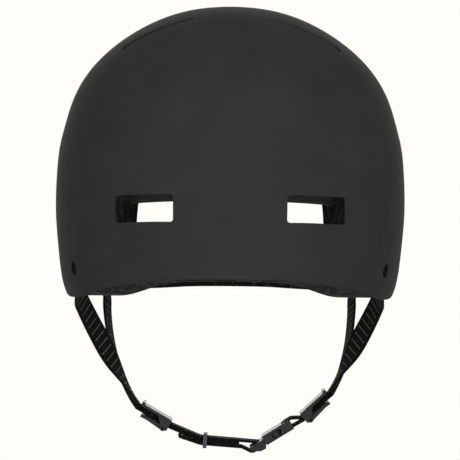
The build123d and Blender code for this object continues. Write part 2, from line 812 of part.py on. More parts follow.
ply_over_bar = strap_thickness / 2 + strap_clear
slot_s = (head_back + bar_front) / 2
bar_under_p = -male_bar_thickness - ply_over_bar
stack_start_x = keeper_x - stack_lead
leave_s = divider_length / 2 + strap_run_below_divider
fold_bend = fold_width * bend_share
male_bend = (male_bar_thickness + 2 * ply_over_bar) * bar_bend_share
fold_place = stack_place(stack_start_x - fold_length, tail_pitch - fold_rise)
with BuildPart() as chin_strap:
    with BuildSketch(harness_plane):
        with BuildLine():
            FilletPolyline(
                divider_place(-1, join_s + strap_join_gap, 1),
                divider_place(-1, leave_s, 1),
                stack_place(stack_start_x, 0),
                buckle_place(slot_s, ply_over_bar),
                buckle_place(slot_s, bar_under_p),
                buckle_place(bar_back, bar_under_p),
                stack_place(tail_join_x, tail_pitch),
                stack_place(stack_start_x, tail_pitch),
                fold_place,
                (fold_place[0] + fold_lean, fold_place[1] + fold_width),
                (fold_place[0] + fold_lap, fold_place[1] + fold_width - fold_lap_drop),
                radius=[tail_bend, stack_bend, male_bend, male_bend, tail_bend, tail_bend, stack_bend,
                        fold_bend, fold_bend],
            )
        trace(line_width=strap_thickness)
    extrude(amount=strap_width / 2, both=True)
    with BuildSketch(harness_plane):
        with BuildLine():
            FilletPolyline(
                divider_place(-1, join_s + strap_join_gap, -1),
                divider_place(-1, leave_s, -1),
                stack_place(stack_start_x, ply_pitch),
                stack_place(second_ply_end_x, ply_pitch),
                radius=[tail_bend, stack_bend],
            )
        trace(line_width=strap_thickness)
    extrude(amount=strap_width / 2, both=True)
chin_strap.part.label = "chin_strap"
export_step(chin_strap.part, "parts/chin_strap.step")

loop_bar_s = female_length + female_slot / 2
loop_over_p = female_bar_rise + female_bar_thickness / 2 + ply_over_bar
loop_under_p = female_bar_rise - female_bar_thickness / 2 - ply_over_bar
female_bend = (loop_over_p - loop_under_p) * bar_bend_share
with BuildPart() as buckle_loop:
    with BuildSketch(harness_plane):
        with BuildLine():
            FilletPolyline(
                divider_place(1, join_s + strap_join_gap, 1),
                divider_place(1, leave_s, 1),
                buckle_place(female_end + loop_lead, loop_over_p),
                buckle_place(loop_bar_s, loop_over_p),
                buckle_place(loop_bar_s, loop_under_p),
                buckle_place(female_end + loop_lead, loop_under_p),
                divider_place(1, leave_s, -1),
                divider_place(1, join_s + strap_join_gap, -1),
                radius=[tail_bend, loop_bend, female_bend, female_bend, loop_bend, tail_bend],
            )
        trace(line_width=strap_thickness)
    extrude(amount=strap_width / 2, both=True)
buckle_loop.part.label = "buckle_loop"
export_step(buckle_loop.part, "parts/buckle_loop.step")

# Keeper: a rubber ring round the stack
stack_run = Vector(cos(radians(stack_slope)), 0, -sin(radians(stack_slope)))
keeper_centre = stack_place(keeper_x, tail_pitch / 2)
keeper_plane = Plane((keeper_centre[0], harness_y, keeper_centre[1]), x_dir=(0, 1, 0), z_dir=stack_run)
keeper_hole_width = strap_width + 2 * keeper_clear
keeper_hole_height = tail_pitch + strap_thickness + 2 * keeper_clear
with BuildPart() as strap_keeper:
    with BuildSketch(keeper_plane):
        RectangleRounded(keeper_hole_width + 2 * keeper_wall, keeper_hole_height + 2 * keeper_wall,
                         keeper_wall)
        Rectangle(keeper_hole_width, keeper_hole_height, mode=Mode.SUBTRACT)
    extrude(amount=keeper_length / 2, both=True)
strap_keeper.part.label = "strap_keeper"
export_step(strap_keeper.part, "parts/strap_keeper.step")
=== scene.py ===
# %% [markdown]
# # A skateboard helmet, dressed piece by piece
# The helmet's solids already exist: a moulded shell, a foam liner, a webbing harness and its hardware.
# This lesson gives each of them its finish, and makes the soft pieces again as real webbing and cushions.
# Everything is in metres. The front faces -Y, the wearer's left is +X, and Z is up.

# %% Load the solids
import bpy
import bmesh
from math import atan2, cos, pi, radians, sin
from mathutils import Matrix, Vector


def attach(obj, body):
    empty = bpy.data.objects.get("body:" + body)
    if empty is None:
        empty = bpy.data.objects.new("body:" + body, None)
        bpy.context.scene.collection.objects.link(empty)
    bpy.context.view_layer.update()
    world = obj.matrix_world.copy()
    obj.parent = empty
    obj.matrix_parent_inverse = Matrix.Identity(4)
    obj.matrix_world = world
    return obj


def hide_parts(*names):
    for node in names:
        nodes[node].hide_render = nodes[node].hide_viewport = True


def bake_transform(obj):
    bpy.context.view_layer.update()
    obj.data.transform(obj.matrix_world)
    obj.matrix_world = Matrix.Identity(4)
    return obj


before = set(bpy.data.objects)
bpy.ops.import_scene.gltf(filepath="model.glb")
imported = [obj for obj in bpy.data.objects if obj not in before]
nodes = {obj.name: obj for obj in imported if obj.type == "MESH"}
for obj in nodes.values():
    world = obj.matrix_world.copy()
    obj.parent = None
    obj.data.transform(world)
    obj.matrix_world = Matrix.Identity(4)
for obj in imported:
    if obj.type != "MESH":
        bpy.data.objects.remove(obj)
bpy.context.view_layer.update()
MM = 0.001
print("pieces in the solid model:", len(nodes))

# %% [markdown]
# ## How a finish is built
# Each finish is a small tree of nodes round one shader. Texture coordinates come from the object, in metres,
# so a pattern's scale can be written as a real size: noise of scale 1000 has features of about a millimetre.
# These helpers keep the trees short to read: one starts a finish, one adds a node, one joins two sockets.

# %% Helpers for finishes
def finish(name, colour, roughness, specular=0.5):
    """A new material with its shader, ready for a pattern."""
    made = bpy.data.materials.new(name)
    made.use_nodes = True
    tree = made.node_tree
    shader = tree.nodes["Principled BSDF"]
    shader.inputs["Base Color"].default_value = (*colour, 1)
    shader.inputs["Roughness"].default_value = roughness
    shader.inputs["Specular IOR Level"].default_value = specular
    return made, tree, shader


def add_node(tree, kind, **values):
    """Adds a node and sets its inputs by name; a name that isn't an input is a setting of the node."""
    node = tree.nodes.new(kind)
    for key, value in values.items():
        if key in node.inputs:
            node.inputs[key].default_value = value
        else:
            setattr(node, key, value)
    return node


def sums(tree, operation, a, b=None, clamp=False):
    """One sum on two sockets or numbers; gives the result's socket."""
    node = tree.nodes.new("ShaderNodeMath")
    node.operation = operation
    node.use_clamp = clamp
    for place, value in enumerate((a, b)):
        if value is None:
            continue
        if isinstance(value, (int, float)):
            node.inputs[place].default_value = value
        else:
            tree.links.new(value, node.inputs[place])
    return node.outputs[0]


def shades(tree, factor, dark, light, low=0.0, high=1.0):
    """Turns a number into a colour between two shades."""
    ramp = tree.nodes.new("ShaderNodeValToRGB")
    ramp.color_ramp.elements[0].position = low
    ramp.color_ramp.elements[0].color = (*dark, 1)
    ramp.color_ramp.elements[1].position = high
    ramp.color_ramp.elements[1].color = (*light, 1)
    tree.links.new(factor, ramp.inputs[0])
    return ramp.outputs[0]


def relief(tree, shader, height, depth, strength=1.0, edge=0.0):
    """Makes the shader feel a height in millimetres of depth, over edges softened by a bevel."""
    bump = add_node(tree, "ShaderNodeBump", Strength=strength, Distance=depth * MM)
    tree.links.new(height, bump.inputs["Height"])
    if edge:
        bevel = tree.nodes.new("ShaderNodeBevel")
        bevel.samples = 6
        bevel.inputs["Radius"].default_value = edge * MM
        tree.links.new(bevel.outputs[0], bump.inputs["Normal"])
    tree.links.new(bump.outputs[0], shader.inputs["Normal"])


def place_in(tree):
    """Object coordinates, in metres."""
    return tree.nodes.new("ShaderNodeTexCoord").outputs["Object"]


def grain(tree, size, detail=4.0, rough=0.6):
    """Noise whose features are about this many millimetres across."""
    node = add_node(tree, "ShaderNodeTexNoise", Scale=1 / (size * MM), Detail=detail, Roughness=rough)
    tree.links.new(place_in(tree), node.inputs["Vector"])
    return node.outputs["Fac"]


def dress(material, *names):
    """Gives CAD pieces this finish."""
    for name in names:
        nodes[name].data.materials.clear()
        nodes[name].data.materials.append(material)


print("helpers ready")

# %% [markdown]
# ## The shell
# The shell is moulded in charcoal plastic and sprayed with a soft matte coat. A matte coat isn't even: it
# has a fine orange-peel grain that breaks up the highlight, faint cloudy patches where the spray was
# thicker, and tiny scuffs where hands and shelves have touched it. The colour stays almost flat, the
# roughness changes with the clouds, and the grain is in the relief.

# %% Matte charcoal coat
SHELL_DARK = (0.0262, 0.0262, 0.0266)
SHELL_LIGHT = (0.0305, 0.0305, 0.031)
shell_coat, tree, shader = finish("matte_charcoal_coat", SHELL_DARK, 0.7, 0.02)
clouds = grain(tree, 38, 3)
tree.links.new(shades(tree, clouds, SHELL_DARK, SHELL_LIGHT, 0.35, 0.65), shader.inputs["Base Color"])
peel = grain(tree, 0.55, 2)
scuff_noise = add_node(tree, "ShaderNodeTexNoise", Scale=140, Detail=8.0, Roughness=0.75)
stretch = add_node(tree, "ShaderNodeMapping", Scale=(1.0, 0.5, 4.0), Rotation=(0.3, 0.5, 0.2))
tree.links.new(place_in(tree), stretch.inputs["Vector"])
tree.links.new(stretch.outputs[0], scuff_noise.inputs["Vector"])
scuffs = sums(tree, "MULTIPLY", sums(tree, "SUBTRACT", scuff_noise.outputs["Fac"], 0.68, clamp=True), 1.2)
worn = sums(tree, "ADD", sums(tree, "MULTIPLY", clouds, 0.12), 0.64)
tree.links.new(sums(tree, "SUBTRACT", worn, scuffs), shader.inputs["Roughness"])
relief(tree, shader, peel, 0.03, 0.5, edge=0.5)
dress(shell_coat, "outer_shell")
print("shell:", shell_coat.name)

# %% [markdown]
# ## The foam
# The liner is moulded from beads that swell and press together in a steam mould. Up close the beads are
# cells of two to four millimetres with dark seams, and the skin of each bead has a faint sheen. Voronoi
# cells are exactly that pattern: the distance to the nearest edge gives the seams, and each cell's own
# random value gives each bead its shade.

# %% Bead foam
FOAM_DARK = (0.006, 0.006, 0.0064)
FOAM_LIGHT = (0.045, 0.045, 0.047)
bead_foam, tree, shader = finish("black_bead_foam", FOAM_DARK, 0.75, 0.10)
bead_size = 3.0
wobble = grain(tree, 2.0, 2)
shifted = add_node(tree, "ShaderNodeVectorMath", operation="ADD")
tree.links.new(place_in(tree), shifted.inputs[0])
jitter = add_node(tree, "ShaderNodeVectorMath", operation="SCALE")
jitter.inputs["Scale"].default_value = 0.6 * MM
noise_vector = add_node(tree, "ShaderNodeCombineXYZ")
for axis in range(3):
    tree.links.new(wobble, noise_vector.inputs[axis])
tree.links.new(noise_vector.outputs[0], jitter.inputs[0])
tree.links.new(jitter.outputs[0], shifted.inputs[1])
beads = add_node(tree, "ShaderNodeTexVoronoi", Scale=1 / (bead_size * MM))
seams = add_node(tree, "ShaderNodeTexVoronoi", feature="DISTANCE_TO_EDGE", Scale=1 / (bead_size * MM))
tree.links.new(shifted.outputs[0], beads.inputs["Vector"])
tree.links.new(shifted.outputs[0], seams.inputs["Vector"])
bead_shade = add_node(tree, "ShaderNodeSeparateColor")
tree.links.new(beads.outputs["Color"], bead_shade.inputs[0])
speckle = sums(tree, "POWER", bead_shade.outputs[0], 3.0)
tree.links.new(shades(tree, speckle, FOAM_DARK, FOAM_LIGHT), shader.inputs["Base Color"])
crown_of_bead = sums(tree, "MULTIPLY", seams.outputs["Distance"], 5.0, clamp=True)
relief(tree, shader, crown_of_bead, 0.35, 0.9, edge=0.6)
dress(bead_foam, "foam_liner")
print("foam beads of", bead_size, "mm")

# %% [markdown]
# ## Moulded nylon, steel, rubber and hook tape
# The buckle and the dividers are black nylon. Nylon comes out of its mould with a satin skin that catches
# soft grey highlights along its edges, so the bevel in the relief matters as much as the colour. The rivets
# and the hinge pins are blackened, and so matte that they read as dark holes in the shell. The washers
# inside are plated steel, the keeper is plain rubber, and the pad dots are hook tape.

# %% Satin nylon
nylon, tree, shader = finish("satin_black_nylon", (0.014, 0.014, 0.015), 0.42, 0.18)
tree.links.new(shades(tree, grain(tree, 3.0), (0.010, 0.010, 0.0105), (0.018, 0.018, 0.019), 0.3, 0.7),
               shader.inputs["Base Color"])
satin = sums(tree, "ADD", sums(tree, "MULTIPLY", grain(tree, 1.2), 0.16), 0.29)
tree.links.new(satin, shader.inputs["Roughness"])
relief(tree, shader, grain(tree, 0.25, 2), 0.02, 0.35, edge=0.35)

print("nylon:", nylon.name)

# %% Rivets and washers
rivet_black, tree, shader = finish("black_rivet", (0.005, 0.005, 0.005), 0.85, 0.01)
tree.links.new(shades(tree, grain(tree, 1.0), (0.003, 0.003, 0.003), (0.007, 0.007, 0.007)),
               shader.inputs["Base Color"])
relief(tree, shader, grain(tree, 0.4, 3), 0.03, 0.4, edge=0.3)

plated_steel, tree, shader = finish("plated_steel", (0.50, 0.50, 0.52), 0.32)
shader.inputs["Metallic"].default_value = 1.0
tree.links.new(shades(tree, grain(tree, 2.0), (0.42, 0.42, 0.43), (0.58, 0.58, 0.60)),
               shader.inputs["Base Color"])
relief(tree, shader, grain(tree, 0.3, 3), 0.02, 0.4, edge=0.15)

print("metal:", rivet_black.name, "and", plated_steel.name)

# %% Keeper rubber and hook tape
keeper_rubber, tree, shader = finish("keeper_rubber", (0.030, 0.030, 0.030), 0.6, 0.4)
tree.links.new(shades(tree, grain(tree, 2.5), (0.024, 0.024, 0.024), (0.042, 0.042, 0.042)),
               shader.inputs["Base Color"])
relief(tree, shader, grain(tree, 0.35, 3), 0.05, 0.5, edge=0.4)

hook_tape, tree, shader = finish("hook_tape", (0.012, 0.012, 0.013), 0.85, 0.3)
hooks = add_node(tree, "ShaderNodeTexVoronoi", Scale=1 / (0.8 * MM))
tree.links.new(place_in(tree), hooks.inputs["Vector"])
tree.links.new(shades(tree, hooks.outputs["Distance"], (0.030, 0.030, 0.032), (0.008, 0.008, 0.008)),
               shader.inputs["Base Color"])
relief(tree, shader, hooks.outputs["Distance"], 0.4, 0.8)

print("soft:", keeper_rubber.name, "and", hook_tape.name)

# %% Dress the hardware
dress(nylon, "buckle_female", "buckle_male", "buckle_prong_front", "buckle_prong_rear", "divider_base_right",
      "divider_base_left", "divider_lever_right", "divider_lever_left")
dress(plated_steel, "rivet_washers")
dress(rivet_black, "strap_rivets", "divider_pin_right", "divider_pin_left")
dress(keeper_rubber, "strap_keeper")
dress(hook_tape, "pad_dots")
print("hardware dressed")

# %% [markdown]
# ## Webbing
# The straps are woven polyester tape, 14.5 mm wide and 1.5 mm thick. A tape has a firm woven edge, the
# selvedge, on both sides, and here a thin grey thread crosses the weave every five millimetres without
# reaching the selvedges. To draw that, the finish has to know where it is across and along the tape, so
# each tape mesh carries a map whose two numbers are centimetres across and centimetres along.

# %% Woven tape finish
TAPE_WIDTH = 14.5 * MM
TAPE_THICKNESS = 1.5 * MM
woven_tape, tree, shader = finish("black_woven_tape", (0.005, 0.005, 0.005), 0.85, 0.06)
shader.inputs["Sheen Weight"].default_value = 0.02
shader.inputs["Sheen Roughness"].default_value = 0.5
WEFT_PITCH, WARP_PITCH = 0.8, 0.9  # all of these in mm
LINE_PITCH, LINE_WIDTH, LINE_REACH = 5.0, 0.5, 5.3
SELVEDGE_FROM = 6.0
MM_A_CM = 10.0
tape_map = add_node(tree, "ShaderNodeUVMap", uv_map="tape")
split = add_node(tree, "ShaderNodeSeparateXYZ")
tree.links.new(tape_map.outputs[0], split.inputs[0])
across = sums(tree, "MULTIPLY", split.outputs["X"], MM_A_CM)
along = sums(tree, "MULTIPLY", split.outputs["Y"], MM_A_CM)
from_middle = sums(tree, "ABSOLUTE", across)
weft = sums(tree, "SINE", sums(tree, "MULTIPLY", along, 2 * pi / WEFT_PITCH))
warp = sums(tree, "SINE", sums(tree, "MULTIPLY", across, 2 * pi / WARP_PITCH))
weave = sums(tree, "MULTIPLY", weft, warp)
along_share = sums(tree, "FRACT", sums(tree, "DIVIDE", along, LINE_PITCH))
thread_place = sums(tree, "ABSOLUTE", sums(tree, "SUBTRACT", along_share, 0.5))
thread = sums(tree, "LESS_THAN", thread_place, LINE_WIDTH / 2 / LINE_PITCH)
inside = sums(tree, "LESS_THAN", from_middle, LINE_REACH)
grey_thread = sums(tree, "MULTIPLY", thread, inside)
selvedge = sums(tree, "GREATER_THAN", from_middle, SELVEDGE_FROM)
fuzz = grain(tree, 0.5, 3)
body_shade = sums(tree, "ADD", sums(tree, "MULTIPLY", weave, 0.18), sums(tree, "MULTIPLY", fuzz, 0.5))
body_shade = sums(tree, "SUBTRACT", body_shade, sums(tree, "MULTIPLY", selvedge, 0.12))
tape_colour = shades(tree, body_shade, (0.0020, 0.0020, 0.0021), (0.0095, 0.0095, 0.0098), 0.0, 0.55)
mix = add_node(tree, "ShaderNodeMix", data_type="RGBA")
tree.links.new(grey_thread, mix.inputs["Factor"])
tree.links.new(tape_colour, mix.inputs[6])
mix.inputs[7].default_value = (0.14, 0.14, 0.143, 1)
tree.links.new(mix.outputs[2], shader.inputs["Base Color"])
raised = sums(tree, "ADD", weave, grey_thread)
relief(tree, shader, raised, 0.12, 0.8)
print("tape finish ready, one grey thread every", LINE_PITCH, "mm")

# %% [markdown]
# A tape is made from stations along its route. Each station is a point, the direction across the tape and
# the direction it runs in. The section at each station is a thin bar with plump selvedges, cut along the
# given cross direction, so two tapes that bend over the same line stay flat on each other.

# %% Tape mesh from stations
CM_A_METRE = 100
# Half of the section, from the middle to the edge: share of the half width, share of the half thickness
SECTION_SHARES = [(0.0, 0.86), (0.35, 0.86), (0.7, 0.86), (0.80, 0.88),
                  (0.86, 0.98), (0.93, 1.0), (0.98, 0.78), (1.0, 0.3)]
HALF_SECTION = [(a * TAPE_WIDTH / 2, b * TAPE_THICKNESS / 2) for a, b in SECTION_SHARES]


def section_loop():
    """The closed section: across and out from the middle of the tape."""
    top = [(-a, b) for a, b in reversed(HALF_SECTION[1:])] + HALF_SECTION
    return top + [(a, -b) for a, b in reversed(top)]


def along_tape(stations, body, name, *replaced):
    """Builds one tape through its stations and puts it on a body."""
    loop = section_loop()
    points, spans = [], [0.0]
    for i, (point, cross, run) in enumerate(stations):
        square = (run - cross * run.dot(cross)).normalized()
        out = square.cross(cross).normalized()
        widen = 1 / max(run.dot(square), 0.5)
        points += [point + cross * (a * widen) + out * b for a, b in loop]
        if i:
            spans.append(spans[-1] + (point - stations[i - 1][0]).length)
    count = len(loop)
    faces = []
    for i in range(len(stations) - 1):
        for j in range(count):
            k = (j + 1) % count
            faces.append((i * count + j, i * count + k, (i + 1) * count + k, (i + 1) * count + j))
    faces.append(tuple(reversed(range(count))))
    faces.append(tuple((len(stations) - 1) * count + j for j in range(count)))
    mesh = bpy.data.meshes.new(name)
    mesh.from_pydata([tuple(p) for p in points], [], faces)
    fixer = bmesh.new()
    fixer.from_mesh(mesh)
    bmesh.ops.recalc_face_normals(fixer, faces=fixer.faces)
    fixer.to_mesh(mesh)
    fixer.free()
    tape_uv = mesh.uv_layers.new(name="tape")
    for face in mesh.polygons:
        for corner in face.loop_indices:
            vertex = mesh.loops[corner].vertex_index
            tape_uv.data[corner].uv = (loop[vertex % count][0] * CM_A_METRE,
                                        spans[vertex // count] * CM_A_METRE)
    mesh.shade_smooth()
    tape = bpy.data.objects.new(name, mesh)
    bpy.context.scene.collection.objects.link(tape)
    mesh.materials.append(woven_tape)
    if body:
        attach(tape, body)
    if replaced:
        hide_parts(*replaced)
    return tape, spans[-1]


print("points in a tape's section:", len(section_loop()))

# %% [markdown]
# ## The four side straps
# Each strap starts between the shell and the foam, is riveted there, and follows the shell to the rim. Below
# the rivet it starts to turn about its own length. A turn is told by the direction across the tape: lines
# woven across it show that direction, so it is given at the rim and about midway to the divider.

# %% How the side straps run and turn
ENDS = ("front", "rear")
ALONG = {"front": Vector((0, 0.9, -0.43)).normalized(), "rear": Vector((0, -0.33, -0.95)).normalized()}
# How far from its riveted end each strap is cut, in mm: beside the end, at the rivet, below its washer, on
# the way to the rim, and just under the rim
CUTS = {"front": (2.0, 14.5, 20.4, 34.7, 58.2), "rear": (2.0, 7.2, 13.0, 16.5, 27.7)}
SHELL_TURNS = (0, 0, 0, 0.5, 1)  # how much of its turn the strap has done at each of them
RIM_TURN = {"front": (0.6, 1.2), "rear": (0.33, -0.4)}
MIDDLE_TURN = {"front": (0.75, 0.95), "rear": (0.2, -0.25)}


def way_across(sign, turn):
    """Across the tape towards the rear: how far it leans inwards and how far it rises on the way."""
    lean, rise = turn
    return Vector((-sign * lean, 1, rise)).normalized()


print("places measured on each strap:", len(SHELL_TURNS))

# %% [markdown]
# Down to the rim a strap has to lie where its solid lies, so its route is measured there. Following a mesh's
# own edges would lean on how its faces happen to run. A plane that cuts a copy across works on any mesh:
# the middle of the cut is a place on the route, and its long sides run across the tape.

# %% Cut a strap's solid across
def far_corners(points):
    """The two points furthest apart, which are opposite corners of a tape's section."""
    pairs = [(a, b) for i, a in enumerate(points) for b in points[:i]]
    return max(pairs, key=lambda pair: (pair[0] - pair[1]).length)


def riveted_end(node, along):
    """Middle of the end that a strap starts with; only the end's corners lie so near its first point."""
    points = [v.co.copy() for v in nodes[node].data.vertices]
    least = min(point.dot(along) for point in points)
    a, b = far_corners([point for point in points if point.dot(along) < least + 2 * TAPE_THICKNESS])
    return (a + b) / 2


def cut_across(node, place, along):
    """Middle of the cut that a plane makes through a strap's solid, and the way that its long sides run."""
    cutter = bmesh.new()
    cutter.from_mesh(nodes[node].data)
    everything = cutter.verts[:] + cutter.edges[:] + cutter.faces[:]
    cut = bmesh.ops.bisect_plane(cutter, geom=everything, plane_co=place, plane_no=along)["geom_cut"]
    points = [v.co.copy() for v in cut if isinstance(v, bmesh.types.BMVert)]
    sides = [e.verts[1].co - e.verts[0].co for e in cut if isinstance(e, bmesh.types.BMEdge)]
    cutter.free()
    a, b = far_corners(points)
    diagonal = (a - b).normalized() * (1 if a.y > b.y else -1)
    # The long sides run nearly along the diagonal, so the third power all but drops the short ones
    long_way = sum((side * side.normalized().dot(diagonal) ** 3 for side in sides), Vector())
    return (a + b) / 2, long_way.normalized()


front_end = riveted_end("front_strap_left", ALONG["front"])
print("the left front strap starts at", [round(v * 1000, 1) for v in front_end])

# %% Places of a strap down to the rim
def on_shell(end, side, sign):
    """Places of a strap from its riveted end to just under the rim, each with the way across it."""
    node = f"{end}_strap_{side}"
    start = riveted_end(node, ALONG[end])
    cuts = [cut_across(node, start + ALONG[end] * far * MM, ALONG[end]) for far in CUTS[end]]
    middles = [start] + [middle for middle, long_way in cuts[1:]]
    places = []
    for i, turned in enumerate(SHELL_TURNS):
        if not turned:
            run = (middles[max(i, 1)] - middles[max(i, 1) - 1]).normalized()
            flat = (cuts[i][1] - run * cuts[i][1].dot(run)).normalized()
        places.append((middles[i], flat.lerp(way_across(sign, RIM_TURN[end]), turned).normalized()))
    return places


for end in ENDS:
    rim = on_shell(end, "left", 1)[-1][0]
    print(f"the left {end} strap leaves the rim at", [round(v * 1000, 1) for v in rim])

# %% [markdown]
# From the rim each strap hangs free in one smooth curve to its divider. A Bezier curve suits that: its two
# inner handles say how long the strap keeps the direction it left the rim in, and how sharply it bends into
# the divider. The dividers hang at different heights. The strap goes on turning on its way, so its cross
# direction is given too: at the rim, about midway, and level front to back where the divider grips it.

# %% Places of the dividers
HARNESS_Y = -0.012  # the upright plane that the harness hangs in
PLY_PITCH = 1.9 * MM
DIVIDER_HALF = 11 * MM
JOIN_S = 6 * MM
JOIN_GAP = 0.3 * MM
DIVIDERS = {"right": (Vector((-0.0467, HARNESS_Y, -0.0750)), 30.0, -1),
            "left": (Vector((0.0555, HARNESS_Y, -0.0678)), 42.6, 1)}
RUN_ABOVE, RUN_BELOW = 0.5 * MM, 0.8 * MM  # how far a tape runs straight on either side of its divider


def divider_frame(side):
    """Middle of a divider, the direction down its straps, and the direction to its inner face."""
    origin, slope, sign = DIVIDERS[side]
    down = Vector((-sign * cos(radians(slope)), 0, -sin(radians(slope))))
    inner = Vector((0, sign, 0)).cross(down)
    return origin, down, inner


for side in DIVIDERS:
    print(side, "divider, straps run down along", [round(v, 2) for v in divider_frame(side)[1]])

# %% Smooth curves through places
FINE_STEPS = 400


def bezier(a, b, c, d, t):
    """The point at share t of a Bezier curve."""
    return a * (1 - t) ** 3 + b * 3 * t * (1 - t) ** 2 + c * 3 * t * t * (1 - t) + d * t ** 3


def evenly_along(a, b, c, d, count):
    """Points on a Bezier curve at equal lengths along it, without its start."""
    fine = [bezier(a, b, c, d, i / FINE_STEPS) for i in range(FINE_STEPS + 1)]
    lengths = [0.0]
    for before, after in zip(fine, fine[1:]):
        lengths.append(lengths[-1] + (after - before).length)
    points, i = [], 0
    for k in range(1, count + 1):
        wanted = lengths[-1] * k / count
        while i < FINE_STEPS - 1 and lengths[i + 1] < wanted:
            i += 1
        part = (wanted - lengths[i]) / (lengths[i + 1] - lengths[i])
        points.append(fine[i].lerp(fine[i + 1], min(part, 1)))
    return points


def eased(share):
    """Smooth step from nothing to one."""
    held = min(max(share, 0), 1)
    return held * held * (3 - 2 * held)


def smooth_through(places, spacing=2.2 * MM):
    """A smooth curve through places of point and cross direction, close enough together for soft bends."""
    result = []
    for i in range(len(places) - 1):
        p0, p1, p2, p3 = (places[max(0, min(len(places) - 1, i + k))] for k in (-1, 0, 1, 2))
        chord = (p2[0] - p1[0]).length
        before = max((p2[0] - p0[0]).length, chord)
        after = max((p3[0] - p1[0]).length, chord)
        into = [(p2[part] - p0[part]) * chord / before for part in (0, 1)]
        outof = [(p3[part] - p1[part]) * chord / after for part in (0, 1)]
        steps = max(2, round(chord / spacing))
        for step in range(steps):
            t = step / steps
            result.append([p1[part] * (2 * t ** 3 - 3 * t * t + 1) + into[part] * (t ** 3 - 2 * t * t + t)
                           + p2[part] * (3 * t * t - 2 * t ** 3) + outof[part] * (t ** 3 - t * t)
                           for part in (0, 1)])
    result.append(list(places[-1]))
    return result


def with_runs(places):
    """Adds the running direction to each place."""
    stations = []
    for i, (point, cross) in enumerate(places):
        before, after = places[max(i - 1, 0)][0], places[min(i + 1, len(places) - 1)][0]
        stations.append((point, cross.normalized(), (after - before).normalized()))
    return stations


half_way = evenly_along(*(Vector((x, 0, 0)) for x in (0, 0, 1, 1)), 2)[0]
print("half of a curve's length is reached at", round(half_way.x, 3))

# %% Route of one side strap
LEAVE = {"front": 24 * MM, "rear": 46 * MM}
LEAVE_LEAN = {"front": 0.15, "rear": 0.02}
MIDDLE_SHARE, END_SHARE = 0.45, 0.92  # where on the free run it has its middle turn, and where it is level
KNEE = 4.5 * MM  # the run above the divider that the strap bends in
KNEE_TURN = radians(14)
FAN = 3 * MM  # how far forwards or backwards it turns there
FREE_STEPS = 10
GRIPPED_STEPS = 6


def strap_route(end, side):
    """Stations of one side strap, from above its rivet to its end inside the divider, and its rim point."""
    sign = DIVIDERS[side][2]
    start = on_shell(end, side, sign)
    origin, down, inner = divider_frame(side)
    layer = inner * (PLY_PITCH / 2) * (1 if end == "front" else -1)
    top = origin - down * (DIVIDER_HALF + RUN_ABOVE) + layer
    arrive = down * cos(KNEE_TURN) - inner * sin(KNEE_TURN)
    knee = arrive * KNEE - Vector((0, FAN if end == "rear" else -FAN, 0))
    rim, rim_cross = start[-1]
    fall = rim - start[-2][0]
    leaving = Vector((-sign * LEAVE_LEAN[end], fall.y / abs(fall.z), -1)).normalized()
    middle_cross = way_across(sign, MIDDLE_TURN[end])
    free = []
    for i, place in enumerate(evenly_along(rim, rim + leaving * LEAVE[end], top - knee, top, FREE_STEPS), 1):
        share = i / FREE_STEPS
        if share < MIDDLE_SHARE:
            cross = rim_cross.lerp(middle_cross, eased(share / MIDDLE_SHARE))
        else:
            done = eased((share - MIDDLE_SHARE) / (END_SHARE - MIDDLE_SHARE))
            cross = middle_cross.lerp(Vector((0, 1, 0)), done)
        free.append((place, cross.normalized()))
    places = smooth_through(start + free)
    gripped = [(top + down * (DIVIDER_HALF + JOIN_S) * k / GRIPPED_STEPS, Vector((0, 1, 0)))
               for k in range(1, GRIPPED_STEPS + 1)]
    return with_runs(places + gripped), rim


print("routes ready for", len(ENDS) * len(DIVIDERS), "straps")

# %% [markdown]
# A pose pulls the buckle apart, and the left straps then have to give. They start on the helmet and end on
# the moving half of the harness, and the right straps end on their own divider, which slides a little up and
# down the webbing. Here each side strap is built where it hangs and put on no body, in place of its solid.

# %% Side straps
for side in DIVIDERS:
    for end in ENDS:
        name = f"{end}_webbing_{side}"
        node = f"{end}_strap_{side}"
        route, rim = strap_route(end, side)
        tape, length = along_tape(route, None, name, node)
        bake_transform(tape)
        print(name, round(length * 1000), "mm")

# %% [markdown]
# ## The chin run
# The chin strap, its folded tail and the loop on the buckle all hang in one upright plane, so their routes
# are drawn flat, as corners with a bend radius each, like a strip of tape laid round pegs. Rounding a corner
# needs only the two directions that meet there: the arc starts and ends at the same distance from the
# corner, the radius times the tangent of half the turn.

# %% Rounded routes in the harness plane
ARC_STEP = radians(12)


def arc_route(corners, radii, step=0.9 * MM):
    """Points of a rounded polyline in x and z, close enough together for smooth tape."""
    corners = [Vector(c) for c in corners]
    points = [corners[0]]
    for i, radius in enumerate(radii, 1):
        a = (corners[i - 1] - corners[i]).normalized()
        b = (corners[i + 1] - corners[i]).normalized()
        opening = a.angle(b)
        reach = radius / sin(opening / 2) * cos(opening / 2)
        centre = corners[i] + (a + b).normalized() * radius / sin(opening / 2)
        first, last = corners[i] + a * reach, corners[i] + b * reach
        start = atan2(first.y - centre.y, first.x - centre.x)
        turn = atan2(last.y - centre.y, last.x - centre.x) - start
        turn = (turn + pi) % (2 * pi) - pi
        count = max(3, int(abs(turn) / ARC_STEP) + 1)
        for k in range(count + 1):
            angle = start + turn * k / count
            points.append(Vector((centre.x + radius * cos(angle), centre.y + radius * sin(angle))))
    points.append(corners[-1])
    filled = [points[0]]
    for a, b in zip(points, points[1:]):
        count = max(1, int((b - a).length / step))
        for k in range(1, count + 1):
            filled.append(a.lerp(b, k / count))
    return filled


def hang(points):
    """Stations of a flat route: the tape is level across, front to back."""
    return with_runs([(Vector((p.x, HARNESS_Y, p.y)), Vector((0, 1, 0))) for p in points])


